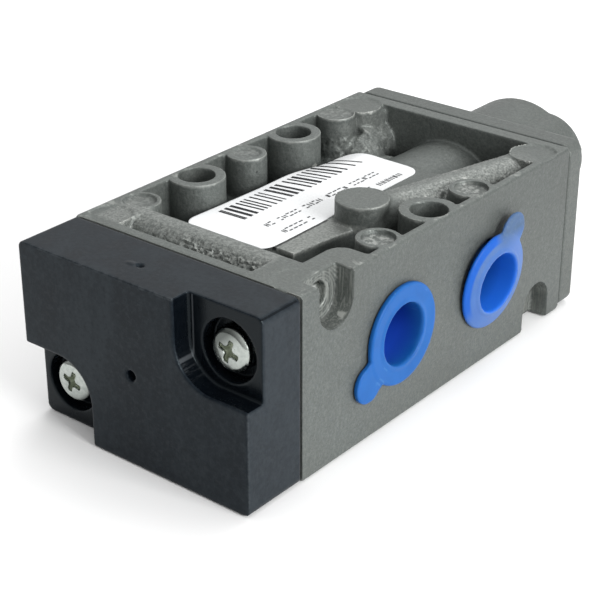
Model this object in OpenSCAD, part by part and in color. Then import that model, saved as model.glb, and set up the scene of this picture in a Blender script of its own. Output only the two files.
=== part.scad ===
// Five-port, two-position spool valve, air piloted with spring return.
// Units are millimetres. X runs across the ports, Y along the spool, Z up.
// Origin: bottom centre of the die-cast body. The spring cover faces -Y.

/* [Body] */
// Width of body and covers across the ports
body_w = 47; // [44:0.5:52]
// Height of body and covers
body_h = 32; // [30:0.5:36]
// Length of the die-cast body alone
body_l = 75.2; // [72:0.2:80]
// Corner radius of the body outline seen from the end
body_corner_r = 0.5; // [0.3:0.1:1.4]
// Wall of the pocket rim along both sides
rim_side = 1.5; // [1:0.1:3]
// Wall of the pocket rim at the end with the ridge
rim_near = 1.9; // [1:0.1:3]
// Wall of the pocket rim at the other end
rim_far = 2.7; // [1:0.1:4]
// Thickness of the middle web
web_t = 3; // [2:0.5:6]
// Outer radius of the spool housing
housing_r = 12; // [11:0.1:13]
// Radius of the half-round port bosses
port_boss_r = 9.2; // [8.5:0.1:10]

/* [Ports] */
// Pitch of neighbouring ports along the spool
port_pitch = 13; // [12:0.5:15]
// Radius of the threaded ports
port_r = 6.58; // [6:0.01:7]
// Threaded depth of the ports
port_depth = 11; // [8:0.5:12]
// Radius of the passage from port to bore
passage_r = 4.8; // [3:0.1:5]
// Radius of the port chamfer at the face
port_chamfer_r = 7.4; // [7:0.1:8]

/* [Fastening] */
// Radius of the through holes
mount_hole_r = 3.2; // [2.5:0.1:4]
// Distance of the through holes from the centre line
mount_hole_x = 19.5; // [18:0.1:20]
// Radius of the bosses around the through holes
mount_boss_r = 5; // [4:0.1:6]
// Distance of the cover screws from the centre line
screw_x = 17; // [16:0.1:18]
// Height offset of the cover screws from the bore
screw_dz = 8.65; // [7:0.05:10]

/* [Covers] */
// Length of the spring cover
cap_l = 12.1; // [10:0.1:16]
// Depth of the two corner recesses in the spring cover
recess_d = 3.55; // [2:0.05:5]
// Gasket thickness at both joints
gasket_t = 0.4; // [0.2:0.1:1]
// Flange thickness of the pilot cover
rear_plate_t = 4.2; // [2:0.1:6]
// Radius of the round pilot boss at its root
rear_boss_r = 13.5; // [12:0.1:15]
// Y position of the end face of the pilot boss
rear_end_y = 60.6; // [59:0.1:66]

/* [Spool] */
// Radius of the long bore in the body
bore_r = 9; // [8:0.1:10]
// Radius of the spool lands
spool_r = 6; // [5:0.05:7]
// Radius of the spool necks
neck_r = 3.8; // [3:0.1:5]
// Stroke of the spool
stroke = 6; // [4:0.5:8]

/* [Hidden] */
zc = body_h/2;
hw = body_w/2;
hl = body_l/2;
cap_y = hl + gasket_t;
e = 0.01;

// ---- helpers -------------------------------------------------------------
// cylinder along X, Y from a start point
module cx(p, r, l, n=64) translate(p) rotate([0,90,0]) cylinder(r=r, h=l, $fn=n);
module cy(p, r, l, n=64) translate(p) rotate([-90,0,0]) cylinder(r=r, h=l, $fn=n);
module cyc(p, r1, r2, l, n=64) translate(p) rotate([-90,0,0]) cylinder(r1=r1, r2=r2, h=l, $fn=n);
module cz(p, r, l, n=48) translate(p) cylinder(r=r, h=l, $fn=n);
// box from two corners
module bx(a, b) translate(a) cube(b - a);
// outline with rounded corners, drawn in X and Z
module outline(w, h, r) union() {
  translate([-w/2 + r, 0]) square([w - 2*r, h]);
  translate([-w/2, r]) square([w, h - 2*r]);
  for (sx=[-1,1], z=[r, h-r]) translate([sx*(w/2 - r), z]) circle(r=r, $fn=48);
}
// the outline pushed along Y from y0 to y1
module slab(w, h, r, y0, y1) translate([0,y1,0]) rotate([90,0,0])
  linear_extrude(height=y1-y0) outline(w, h, r);
// half turn of the casting about the crosswise axis through its middle
module turned() translate([0,0,zc]) rotate([180,0,0]) translate([0,0,-zc]) children();
// tube along Y
module ring(y0, y1, ro, ri) difference() {
  cy([0,y0,zc], ro, y1-y0, 96);
  cy([0,y0-1,zc], ri, y1-y0+2, 96);
}

// ---- die-cast body -------------------------------------------------------
// half-round topped wall between two points, axis height za
module ridge(a, b, r, za) {
  d = b - a; l = sqrt(d[0]*d[0] + d[1]*d[1]); t = atan2(d[1], d[0]);
  translate([a[0], a[1], 0]) rotate([0,0,t]) {
    translate([0,-r,zc]) cube([l, 2*r, za - zc]);
    translate([0,0,za]) rotate([0,90,0]) cylinder(r=r, h=l, $fn=48);
  }
}
// features the casting carries on both faces
module face_features() {
  // pilot gallery ridge behind the near flange
  ridge([-19,-29.8], [19.5,-29.8], 4, 28);
  // its front flank, drafted down to a narrow groove along the rim
  translate([-15,0,0]) rotate([90,0,90]) linear_extrude(height=27.5)
    polygon([[-35,zc],[-34.9,26.4],[-34.3,28.6],[-33,30.4],[-31.4,31.5],[-29.8,31.9],[-28,zc]]);
  cz([-19.4,-31.5,zc], 3.8, body_h-zc);
  // diagonal gallery ridge with its start post
  ridge([9.0,-3.1], [17.7,30.3], 4.2, 27.5);
  cz([8.3,-3.1,zc], 4.6, body_h-zc);
  // solid corner with the notch wall behind it
  bx([12,-hl,zc], [hw,-28.7,body_h]);
  bx([16.2,-30,zc], [hw,-22.4,body_h]);
  cz([19.2,-22.8,zc], 3, body_h-zc);
  bx([19.2,-24,zc], [hw,-19.8,body_h]);
  // bosses around the through holes
  for (p=[[-1,-1],[-1,1],[1,0]]) cz([p[0]*mount_hole_x, p[1]*port_pitch, zc], mount_boss_r, body_h-zc);
  // cover screw boss at the far left
  cy([-screw_x, 28.6, zc+screw_dz], 4.5, hl-28.6);
  bx([-hw,32,zc+1], [-14.6,hl,31.2]);
  // raised flat over the spool housing
  translate([0,0,zc]) linear_extrude(height=28.2-zc)
    polygon([[-7.9,-20.8],[8,-20.8],[9.9,-7],[9.9,0],[7.9,20.8],[-7.9,20.8]]);
  // rounded fill in front of the cover screw boss
  translate([-16.3,28.6,22.8]) sphere(r=5.2, $fn=48);
}
// rim of the pocket on one face
module rim() difference() {
  bx([-hw,-hl,zc-e], [hw,hl,body_h]);
  bx([-hw+rim_side,-hl+rim_near,zc-1], [hw-rim_side,hl-rim_far,body_h+1]);
}
module half_face() { rim(); face_features(); }
// ejector posts and pads, upper face only: x, y, radius
posts = [[-19.4,-33.8,3.8],[-19.5,-26.9,3.6],[-19.5,0,3.6],[-19.5,25.5,3.6],[-18.8,32,4.15],
  [19.6,-13.9,3.7],[19.9,11.8,3.9],[19.7,31.7,4.3]];
// dishes in the tops of posts and pads: x, y, radius, depth
dishes = [[-19.5,-26.9,2.8,0.5],[-19.5,0,2.6,0.35],[-19.5,25.5,3.3,0.45],[19.6,-13.9,2.8,0.8],[19.9,11.8,2.87,0.8],
  [-19.4,-33.8,3.6,0.25],[-18.8,32,4,0.25],[19.7,31.7,4.1,0.3],[19.4,-33.8,4,0.1]];
// notch opening in the side face
module notch() {
  cx([19.9,-29.4,27.7], 4.1, 8);
  bx([19.9,-33.5,27.7], [hw+4,-25.3,body_h+4]);
  // drilled pilot gallery
  cx([7,-29.7,28], 2.3, 15, 32);
}
module port_cut(s, y) translate([0,y,zc]) rotate([0,0, s>0 ? 0 : 180]) {
  cx([hw-port_depth,0,0], port_r, port_depth+1, 96);
  cx([2,0,0], passage_r, hw-4, 64);
  translate([hw-0.82,0,0]) rotate([0,90,0]) cylinder(r1=port_r, r2=port_chamfer_r+0.9, h=0.82*2, $fn=96);
}
module valve_body() color([0.50,0.52,0.50]) difference() {
  intersection() {
    union() {
      half_face();
      turned() half_face();
      bx([-hw,-hl,zc-web_t/2], [hw,hl,zc+web_t/2]);
      cy([0,-hl,zc], housing_r, body_l, 96);
      for (y=[-port_pitch, port_pitch]) cx([0,y,zc], port_boss_r, hw, 72);
      for (y=[-2*port_pitch, 0, 2*port_pitch]) cx([-hw,y,zc], port_boss_r, hw, 72);
      for (p=posts) cz([p[0],p[1],zc], p[2], body_h-zc);
    }
    slab(body_w, body_h, body_corner_r, -hl, hl);
  }
  notch();
  turned() notch();
  for (p=dishes) cz([p[0],p[1],body_h-p[3]], p[2], 2);
  // long bore, ports, through holes, screw holes
  cy([0,-hl-1,zc], bore_r, body_l+2, 96);
  for (y=[-port_pitch, port_pitch]) port_cut(1, y);
  for (y=[-2*port_pitch, 0, 2*port_pitch]) port_cut(-1, y);
  for (p=[[-1,-1],[-1,1],[1,0]]) cz([p[0]*mount_hole_x, p[1]*port_pitch, -1], mount_hole_r, body_h+2, 64);
  for (s=[-1,1]) cy([s*screw_x,-hl-1,zc+s*screw_dz], 2.05, 6.2, 32);
  for (s=[-1,1]) cy([s*screw_x,hl-7.2,zc-s*screw_dz], 2.05, 8.2, 32);
}

// ---- covers and gaskets --------------------------------------------------
// shape of the upper right corner recess in X and Z
module recess2d() difference() {
  translate([9.2,18]) square([20,20]);
  difference() {
    translate([9.1,17.9]) square([7.1,7.1]);
    translate([16.2,25]) circle(r=7, $fn=64);
  }
}
module cap_recess() {
  translate([0,-cap_y-cap_l+recess_d,0]) rotate([90,0,0]) linear_extrude(height=recess_d+2) recess2d();
  cy([screw_x,-cap_y-cap_l,zc+screw_dz], 5.15, recess_d+2.6, 48);
  cy([screw_x,-cap_y-cap_l,zc+screw_dz], 2.25, cap_l+2, 32);
}
module front_cover() color([0.17,0.18,0.20]) difference() {
  slab(body_w, body_h, 1.2, -cap_y-cap_l, -cap_y);
  cap_recess();
  translate([0,0,zc]) rotate([0,180,0]) translate([0,0,-zc]) cap_recess();
  // spring chamber around a guide peg, breather through the peg
  difference() {
    cy([0,-cap_y-9.6,zc], 7, 12, 64);
    cy([0,-cap_y-10,zc], 2.4, 6.5, 32);
  }
  cy([0,-cap_y-cap_l-1,zc], 0.9, 14, 24);
}
// round boss along Y at x, z with a rounded end
module boss(c, r0, r1) translate([c[0],0,c[1]]) {
  cyc([0,hl+gasket_t+1,0], r0, r1, rear_end_y-1-hl-gasket_t-1, 96);
  translate([0,rear_end_y-1,0]) intersection() {
    rotate([-90,0,0]) rotate_extrude($fn=96)
      union() { square([r1-1,1]); translate([r1-1,0]) circle(r=1, $fn=48); square([r1,e]); }
    cy([0,-e,0], 20, 10, 32);
  }
}
module rear_cover() color([0.55,0.57,0.55]) difference() {
  union() {
    slab(body_w, body_h, 2, hl+gasket_t, hl+gasket_t+rear_plate_t);
    // round boss with a rounded end, and the swelling on its upper outer side
    boss([0,zc], rear_boss_r, rear_boss_r-0.1);
    boss([6,zc+4], 8, 8);
  }
  cy([0,hl,zc], 10, 52-hl, 96);
  cy([0,50,zc], 4.86, 20, 64);
  cyc([0,rear_end_y-0.8,zc], 4.86, 6.46, 1.6, 64);
  for (s=[-1,1]) cy([s*screw_x,hl,zc-s*screw_dz], 2.25, 8, 32);
  for (s=[-1,1]) cy([s*screw_x,hl+gasket_t+rear_plate_t-0.6,zc-s*screw_dz], 3.9, 3, 48);
}
// flat gasket on the joint plane starting at y0; s is the screw diagonal
module gasket(y0, r, s) difference() {
  translate([0,0,0.4]) slab(body_w-0.8, body_h-0.8, 1.2, y0, y0+gasket_t);
  cy([0,y0-1,zc], r, 3, 96);
  for (k=[-1,1]) cy([k*screw_x,y0-1,zc+s*k*screw_dz], 2.25, 3, 32);
}
module front_gasket() color([0.08,0.08,0.09]) gasket(-cap_y, 7.2, 1);
module rear_gasket() color([0.08,0.08,0.09]) gasket(hl, 9.6, -1);

// ---- screws --------------------------------------------------------------
// pan head cross recess screw along +Y, underside of the head at the origin
module screw(l) difference() {
  union() {
    rotate([-90,0,0]) cylinder(r=2, h=l-0.6, $fn=32);
    translate([0,l-0.6,0]) rotate([-90,0,0]) cylinder(r1=2, r2=1.4, h=0.6, $fn=32);
    rotate([90,0,0]) rotate_extrude($fn=48) intersection() {
      union() { square([3.7,1.7]); square([2.8,2.6]); translate([2.8,1.7]) circle(r=0.9, $fn=32); }
      square([5,5]);
    }
  }
  for (a=[0,90]) rotate([0,a+20,0]) translate([-1.9,-3,-0.42]) cube([3.8,1.7,0.84]);
  translate([0,-1.5,0]) rotate([90,0,0]) cylinder(r1=0.7, r2=1.1, h=2, $fn=24);
}
module front_screws() color([0.72,0.72,0.66])
  for (s=[-1,1]) translate([s*screw_x,-cap_y-cap_l+recess_d+2.6,zc+s*screw_dz]) screw(11);
module rear_screws() color([0.72,0.72,0.66])
  for (s=[-1,1]) translate([s*screw_x,hl+gasket_t+rear_plate_t-0.6,zc-s*screw_dz]) rotate([0,0,180]) screw(10);

// ---- spool and its seal stack --------------------------------------------
// land with small lead chamfers
module land(y0, y1) {
  cyc([0,y0,zc], spool_r-0.4, spool_r, 0.4, 72);
  cy([0,y0+0.4,zc], spool_r, y1-y0-0.8, 72);
  cyc([0,y1-0.4,zc], spool_r, spool_r-0.4, 0.4, 72);
}
module spool() color([0.70,0.71,0.72]) difference() {
  union() {
    cy([0,-34.5,zc], neck_r, 75, 64);
    land(-35,-25);
    land(-16,-4);
    land(10,22);
    land(30,41);
  }
  cy([0,-36,zc], 4.2, 10, 64);
}
module stack_seals() color([0.10,0.10,0.11])
  for (k=[-5:2:5]) ring(k*port_pitch/2-1.3, k*port_pitch/2+1.3, bore_r-0.05, spool_r+0.05);
module port_cages() color([0.30,0.31,0.33])
  for (k=[-2:2]) translate([0,k*port_pitch,0]) difference() {
    ring(-5.2, 5.2, bore_r-0.05, 6.6);
    for (a=[0:60:300]) translate([0,0,zc]) rotate([0,a+30,0]) cylinder(r=2.6, h=12, $fn=32);
  }
module front_end_ring() color([0.30,0.31,0.33]) ring(-hl, -2.5*port_pitch-1.3, bore_r-0.05, 6.4);
module rear_end_ring() color([0.30,0.31,0.33]) ring(2.5*port_pitch+1.3, hl, bore_r-0.05, 6.4);

// ---- return spring -------------------------------------------------------
spring_l = 21.5;
wire_r = 0.45;
coil_r = 3.4;
coils = 9;
steps = 18;
sides = 8;
spring_n = coils*steps;
pitch_mid = (spring_l - 2*wire_r - 2*2*wire_r)/(coils-2);
// axial position of the wire centre after t turns, end coils closed
function wire_y(t) = wire_r + (t < 1 ? t*2*wire_r : t > coils-1 ?
  2*wire_r + (coils-2)*pitch_mid + (t-coils+1)*2*wire_r : 2*wire_r + (t-1)*pitch_mid);
module return_spring() color([0.62,0.63,0.65])
  translate([0,-cap_y-9.6+0.02,zc]) polyhedron(
    points = [for (i=[0:spring_n]) for (j=[0:sides-1])
      let (a=360*i/steps, b=360*j/sides, q=coil_r+wire_r*cos(b))
      [q*cos(a), wire_y(i/steps)+wire_r*sin(b), q*sin(a)]],
    faces = concat(
      [[for (j=[0:sides-1]) j]],
      [for (i=[0:spring_n-1]) for (j=[0:sides-1]) let (k=(j+1)%sides)
        [i*sides+k, i*sides+j, (i+1)*sides+j, (i+1)*sides+k]],
      [[for (j=[sides-1:-1:0]) spring_n*sides+j]]));

// ---- pilot piston --------------------------------------------------------
module pilot_piston() color([0.85,0.85,0.82]) difference() {
  union() {
    cy([0,41,zc], 4.5, 4, 64);
    cy([0,44.3,zc], 9.93, 6.2, 96);
  }
  difference() {
    cy([0,46.2,zc], 12, 2.6, 96);
    cy([0,46,zc], 7.8, 3, 96);
  }
  cy([0,49,zc], 3, 3, 48);
}
module piston_seal() color([0.07,0.07,0.08]) ring(46.3, 48.7, 9.95, 7.85);
module piston_bumper() color([0.12,0.12,0.13]) ring(50.55, 52, 9.9, 5.3);

// ---- small parts ---------------------------------------------------------
module ball() translate([17.9,-29.7,28]) sphere(r=2.28, $fn=32);
module gallery_balls() color([0.75,0.75,0.75]) { ball(); turned() ball(); }
// shipping plug, rim of its cup at x = 0 facing +X. d is where the tab is, the
// edge of the flange lies dish behind the rim, root is the radius behind the flange
module plug_body(d, tab_r, dish, th, root) difference() {
  union() {
    translate([-dish-th,0,0]) rotate([90,0,90]) linear_extrude(height=th-0.1) union() {
      translate(d) circle(r=tab_r, $fn=48);
      rotate([0,0,atan2(d[1],d[0])]) translate([6,-tab_r+0.2]) square([norm(d)-6,2*tab_r-0.4]);
    }
    rotate([0,90,0]) rotate_extrude($fn=96)
      polygon([[0,0], [5.75,0], [6.3,-0.12-dish*0.2], [8.55,-dish], [8.75,-dish-0.2], [8.75,-dish-th],
        [root,-dish-th], [root,-dish-th-0.2], [6.2,-dish-th-0.9], [5.5,-9.2], [5.1,-9.7], [0,-9.7]]);
  }
  rotate([0,90,0]) rotate_extrude($fn=96)
    polygon([[0,1], [5.45,1], [5.45,0], [5.25,-0.5], [4.9,-8.2], [4.3,-8.9], [0,-8.9]]);
}
module port_plug_front() color([0.15,0.45,0.85])
  translate([hw+1.1,-port_pitch,zc]) plug_body([-8.9,-5.4], 3.25, 0, 0.95, 6.4);
module port_plug_rear() color([0.42,0.55,0.88])
  translate([hw+2.3,port_pitch-0.2,zc-0.4]) rotate([0,3.6,-1.5]) plug_body([4.5,7.9], 3.4, 1, 0.6, 6.9);
// paper sticker with a bite where it meets the start post
module label() color([0.93,0.93,0.92]) difference() {
  translate([0,0,28.2]) linear_extrude(height=0.2) union() {
    translate([-10.8,-23.3]) square([11.8,43.8]);
    translate([-13.8,-20.3]) square([17.8,37.8]);
    for (x=[-10.8,1], y=[-20.3,17.5]) translate([x,y]) circle(r=3, $fn=48);
  }
  cz([8.3,-3.1,20], 4.65, 20);
}

valve_body();
front_cover();
rear_cover();
front_gasket();
rear_gasket();
front_screws();
rear_screws();
spool();
stack_seals();
port_cages();
front_end_ring();
rear_end_ring();
return_spring();
pilot_piston();
piston_seal();
piston_bumper();
gallery_balls();
port_plug_front();
port_plug_rear();
label();
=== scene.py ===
import math, random
import bpy, bmesh
import numpy as np
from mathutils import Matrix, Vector, noise


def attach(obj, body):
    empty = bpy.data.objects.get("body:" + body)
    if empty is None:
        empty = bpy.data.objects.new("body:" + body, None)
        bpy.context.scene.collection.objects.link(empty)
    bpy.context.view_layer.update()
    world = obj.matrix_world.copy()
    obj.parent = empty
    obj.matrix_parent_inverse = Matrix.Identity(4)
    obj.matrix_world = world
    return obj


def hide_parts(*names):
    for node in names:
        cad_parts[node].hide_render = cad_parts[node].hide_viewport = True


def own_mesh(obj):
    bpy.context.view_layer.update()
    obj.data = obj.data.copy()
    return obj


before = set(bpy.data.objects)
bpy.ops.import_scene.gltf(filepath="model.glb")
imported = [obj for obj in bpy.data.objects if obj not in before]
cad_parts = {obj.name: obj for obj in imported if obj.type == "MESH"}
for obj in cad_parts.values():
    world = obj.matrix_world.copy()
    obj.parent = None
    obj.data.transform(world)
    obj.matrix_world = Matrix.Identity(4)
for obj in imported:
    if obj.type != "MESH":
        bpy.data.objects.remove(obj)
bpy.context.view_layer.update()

MM = 0.001
random.seed(7)
scene = bpy.context.scene

# --------------------------------------------------------------- camera ----
AZ, EL = 38.99, 26.93
cam_data = bpy.data.cameras.new("cam")
cam = bpy.data.objects.new("cam", cam_data)
scene.collection.objects.link(cam)
cam.location = (0.15679, -0.20285, 0.13939)
cam.rotation_euler = (math.radians(90 - EL), 0, math.radians(AZ))
cam_data.sensor_width = 36.0
cam_data.lens = 98.51
cam_data.clip_start = 0.01
cam_data.clip_end = 10
scene.camera = cam


# ------------------------------------------------------- material helpers --
class Mat:
    """A node material with short helpers for building it."""

    def __init__(self, name):
        self.m = bpy.data.materials.new(name)
        self.m.use_nodes = True
        self.t = self.m.node_tree
        self.t.nodes.clear()
        self.out = self.n("ShaderNodeOutputMaterial")
        self.b = self.n("ShaderNodeBsdfPrincipled")
        self.l(self.b.outputs[0], self.out.inputs[0])
        self.co = self.n("ShaderNodeTexCoord").outputs["Object"]

    def n(self, kind, **props):
        node = self.t.nodes.new(kind)
        for k, v in props.items():
            setattr(node, k, v)
        return node

    def l(self, a, b):
        self.t.links.new(a, b)

    def set(self, **kw):
        for k, v in kw.items():
            self.b.inputs[k.replace("_", " ")].default_value = v
        return self

    def noise(self, scale, detail=3, rough=0.5, co=None, dist=0.0, out="Fac"):
        t = self.n("ShaderNodeTexNoise")
        t.inputs["Scale"].default_value = scale
        t.inputs["Detail"].default_value = detail
        t.inputs["Roughness"].default_value = rough
        t.inputs["Distortion"].default_value = dist
        self.l(co or self.co, t.inputs["Vector"])
        return t.outputs[out]

    def voro(self, scale, feature="F1", out="Distance", rand=1.0):
        t = self.n("ShaderNodeTexVoronoi", feature=feature)
        t.inputs["Scale"].default_value = scale
        t.inputs["Randomness"].default_value = rand
        self.l(self.co, t.inputs["Vector"])
        return t.outputs[out]

    def ramp(self, fac, stops, interp="LINEAR"):
        r = self.n("ShaderNodeValToRGB")
        r.color_ramp.interpolation = interp
        el = r.color_ramp.elements
        while len(el) < len(stops):
            el.new(0.5)
        for e, (p, c) in zip(el, stops):
            e.position = p
            e.color = (*c, 1) if len(c) == 3 else c
        self.l(fac, r.inputs[0])
        return r.outputs[0]

    def val(self, fac, a, b, x0=0.0, x1=1.0):
        r = self.n("ShaderNodeMapRange")
        for i, v in enumerate((x0, x1, a, b)):
            r.inputs[i + 1].default_value = v
        self.l(fac, r.inputs[0])
        return r.outputs[0]

    def mix(self, fac, a, b, mode="MIX"):
        r = self.n("ShaderNodeMix", data_type="RGBA", blend_type=mode)
        for sock, v in ((r.inputs[0], fac), (r.inputs[6], a), (r.inputs[7], b)):
            if isinstance(v, (int, float)):
                sock.default_value = v
            elif isinstance(v, tuple):
                sock.default_value = (*v, 1) if len(v) == 3 else v
            else:
                self.l(v, sock)
        return r.outputs[2]

    def math(self, op, a, b=0.0, clamp=False):
        r = self.n("ShaderNodeMath", operation=op, use_clamp=clamp)
        for i, v in enumerate((a, b)):
            if isinstance(v, (int, float)):
                r.inputs[i].default_value = v
            else:
                self.l(v, r.inputs[i])
        return r.outputs[0]

    def span(self, a, lo, hi, soft):
        """1 between lo and hi, fading over soft on both sides."""
        return self.math("MINIMUM", self.val(a, 0.0, 1.0, lo, lo + soft), self.val(a, 1.0, 0.0, hi - soft, hi))

    def both(self, *parts):
        out = parts[0]
        for q in parts[1:]:
            out = self.math("MULTIPLY", out, q)
        return out

    def dist(self, a, ca, b, cb):
        da, db = self.math("SUBTRACT", a, ca), self.math("SUBTRACT", b, cb)
        return self.math("SQRT", self.math("ADD", self.math("MULTIPLY", da, da), self.math("MULTIPLY", db, db)))

    def xyz(self):
        s = self.n("ShaderNodeSeparateXYZ")
        self.l(self.co, s.inputs[0])
        return s.outputs

    def pointy(self):
        return self.n("ShaderNodeNewGeometry").outputs["Pointiness"]

    def bump(self, height, strength=0.3, dist=0.0002, prev=None):
        b = self.n("ShaderNodeBump")
        b.inputs["Strength"].default_value = strength
        b.inputs["Distance"].default_value = dist
        self.l(height, b.inputs["Height"])
        if prev is not None:
            self.l(prev, b.inputs["Normal"])
        return b.outputs[0]

    def color(self, sock):
        self.l(sock, self.b.inputs["Base Color"])

    def rough(self, sock):
        self.l(sock, self.b.inputs["Roughness"])

    def normal(self, sock):
        self.l(sock, self.b.inputs["Normal"])


def die_cast(name, tone=1.0, pockets=True):
    """Shot-blasted zinc grey casting: grain, rubbed bright edges partly painted as highlights, painted shade towards
    the pocket floors and in creases, painted light on the raised flat.
    """
    m = Mat(name)
    fine = m.noise(5200, 3, 0.6)
    mid = m.noise(900, 4, 0.55)
    big = m.noise(70, 3, 0.5)
    k = 0.40 * tone
    base = m.ramp(mid, [(0.30, (0.236 * k, 0.266 * k, 0.250 * k)), (0.70, (0.280 * k, 0.312 * k, 0.295 * k))])
    grit = m.noise(2100, 4, 0.7)
    base = m.mix(m.val(grit, 0.0, 0.55, 0.50, 0.70), base, (0.46 * k, 0.485 * k, 0.46 * k))
    base = m.mix(m.val(grit, 0.50, 0.0, 0.30, 0.48), base, (0.13 * k, 0.142 * k, 0.137 * k))
    base = m.mix(m.val(fine, 0.0, 0.35, 0.42, 0.72), base, (0.42 * k, 0.445 * k, 0.42 * k))
    base = m.mix(m.val(fine, 0.30, 0.0, 0.25, 0.45), base, (0.12 * k, 0.13 * k, 0.125 * k))
    # faint upright rub marks
    mp = m.n("ShaderNodeMapping")
    mp.inputs["Scale"].default_value = (1, 1, 0.12)
    m.l(m.co, mp.inputs[0])
    rub = m.noise(1500, 3, 0.6, mp.outputs[0])
    base = m.mix(m.val(rub, 0.0, 0.35, 0.55, 0.75), base, (0.20 * k, 0.215 * k, 0.205 * k))
    base = m.mix(m.val(big, 0.0, 0.22, 0.45, 0.75), base, (0.22 * k, 0.225 * k, 0.20 * k))
    if pockets:
        # painted shade in the cored pockets, deeper towards the floor
        xs = m.xyz()
        depth = m.math("ABSOLUTE", m.math("SUBTRACT", xs[2], 0.016))
        low = m.val(depth, 1.0, 0.0, 0.0040, 0.0125)
        inx = m.val(m.math("ABSOLUTE", xs[0]), 1.0, 0.0, 0.0214, 0.0221)
        iny = m.math("MULTIPLY", m.val(xs[1], 0.0, 1.0, -0.0359, -0.0353), m.val(xs[1], 1.0, 0.0, 0.0345, 0.0351))
        pocket_shade = m.math("MULTIPLY", m.math("MULTIPLY", inx, iny), low)
        flip = m.math("SIGN", m.math("SUBTRACT", xs[2], 0.016))
        yf = m.math("MULTIPLY", xs[1], flip)
        # the machined corner notch and the lumpy corner fill are left out of the painted shade
        notch = m.both(m.val(xs[0], 0.0, 1.0, 0.0160, 0.0168), m.val(xs[0], 1.0, 0.0, 0.0231, 0.0233), m.val(yf, 1.0, 0.0, -0.0252, -0.0246), m.val(yf, 0.0, 1.0, -0.0352, -0.0346), m.val(depth, 0.0, 1.0, 0.0060, 0.0064), m.val(depth, 1.0, 0.0, 0.0154, 0.0156))
        lump = m.both(m.val(m.dist(xs[0], -0.0136, yf, 0.0285), 1.0, 0.0, 0.0050, 0.0085), m.val(xs[0], 1.0, 0.0, -0.0075, -0.0055))
        pocket_shade = m.both(pocket_shade, m.math("SUBTRACT", 1.0, notch), m.math("SUBTRACT", 1.0, m.math("MULTIPLY", lump, 0.85)))
        # painted shade: the pocket walls and floors drawn darker
        base = m.mix(m.math("MULTIPLY", pocket_shade, m.val(mid, 0.62, 0.82, 0.3, 0.7)), base, (0.10 * k, 0.118 * k, 0.118 * k))
        # coarse bright grain on the diagonal ridge, the fill and the torn flank
        sx, sy = m.math("SUBTRACT", xs[0], 0.009), m.math("ADD", yf, 0.0031)
        sd = m.math("ADD", m.math("MULTIPLY", sx, 0.2524), m.math("MULTIPLY", sy, 0.9676))
        td = m.math("SUBTRACT", m.math("MULTIPLY", sx, 0.9676), m.math("MULTIPLY", sy, 0.2524))
        diag = m.both(m.span(sd, 0.0040, 0.0360, 0.003), m.span(td, -0.0052, 0.0052, 0.001), m.val(depth, 0.0, 1.0, 0.0095, 0.0115), m.val(depth, 1.0, 0.0, 0.01555, 0.0158))
        flank = m.both(m.span(xs[0], -0.0215, 0.0130, 0.001), m.span(yf, -0.0358, -0.0275, 0.001), m.val(depth, 0.0, 1.0, 0.0070, 0.0090))
        coarse = m.math("MAXIMUM", m.math("MULTIPLY", diag, 1.0), m.math("MAXIMUM", m.math("MULTIPLY", flank, 0.75), m.math("MULTIPLY", m.both(lump, m.val(depth, 1.0, 0.0, 0.0148, 0.0152)), 0.40)))
        grain = m.noise(2300, 3, 0.7)
        base = m.mix(m.math("MULTIPLY", coarse, m.val(grain, 0.05, 0.85, 0.40, 0.64)), base, (0.74 * k, 0.77 * k, 0.73 * k))
        # turning rings in the notch
        rr = m.dist(yf, -0.0294, depth, 0.0117)
        ring = m.val(m.math("SINE", m.math("MULTIPLY", rr, 13000.0)), 0.0, 0.55, -0.2, 0.9)
        face = m.val(xs[0], 1.0, 0.0, 0.0203, 0.0207)
        base = m.mix(m.both(notch, face, ring), base, (0.62 * k, 0.65 * k, 0.61 * k))
        mpn = m.n("ShaderNodeMapping")
        mpn.inputs["Scale"].default_value = (1, 1, 0.07)
        m.l(m.co, mpn.inputs[0])
        base = m.mix(m.both(notch, m.val(m.noise(2600, 3, 0.6, mpn.outputs[0]), 0.0, 0.8, 0.48, 0.62)), base, (0.55 * k, 0.58 * k, 0.54 * k))
        # rough floors of the small dishes, and a painted shadow line along the paper's edge
        dish = None
        for px, py, pr, am in ((0.0196, -0.0139, 0.0028, 0.95), (0.0199, 0.0118, 0.00287, 0.95), (-0.0195, -0.0269, 0.0028, 0.4), (-0.0195, 0.0, 0.0026, 0.4), (-0.0195, 0.0255, 0.0033, 0.4)):
            q = m.math("MULTIPLY", m.val(m.dist(xs[0], px, yf, py), 1.0, 0.0, pr - 0.0004, pr - 0.0001), am)
            dish = q if dish is None else m.math("MAXIMUM", dish, q)
        dish = m.both(dish, m.val(depth, 0.0, 1.0, 0.0148, 0.0151))
        base = m.mix(m.both(dish, m.val(m.noise(1100, 3, 0.7), 0.0, 0.9, 0.46, 0.60)), base, (0.80 * k, 0.83 * k, 0.79 * k))
        top = m.span(depth, 0.0114, 0.0130, 0.0004)
        # painted light, with grain, on the raised flat that the rim and boss shade
        flat = m.both(top, m.span(xs[0], 0.0030, 0.0130, 0.0006), m.span(yf, -0.0300, -0.0060, 0.0006))
        base = m.mix(m.both(flat, m.val(grain, 0.25, 0.90, 0.40, 0.64)), base, (0.66 * k, 0.69 * k, 0.65 * k))
        # painted shadow along the paper's right edge
        paper_edge_shadow = m.both(top, m.span(xs[0], 0.0036, 0.0046, 0.0002), m.span(yf, -0.0240, -0.0070, 0.0005), m.val(xs[2], 0.0, 1.0, 0.0155, 0.0165))
        base = m.mix(m.math("MULTIPLY", paper_edge_shadow, 0.9), base, (0.02 * k, 0.022 * k, 0.022 * k))
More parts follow.
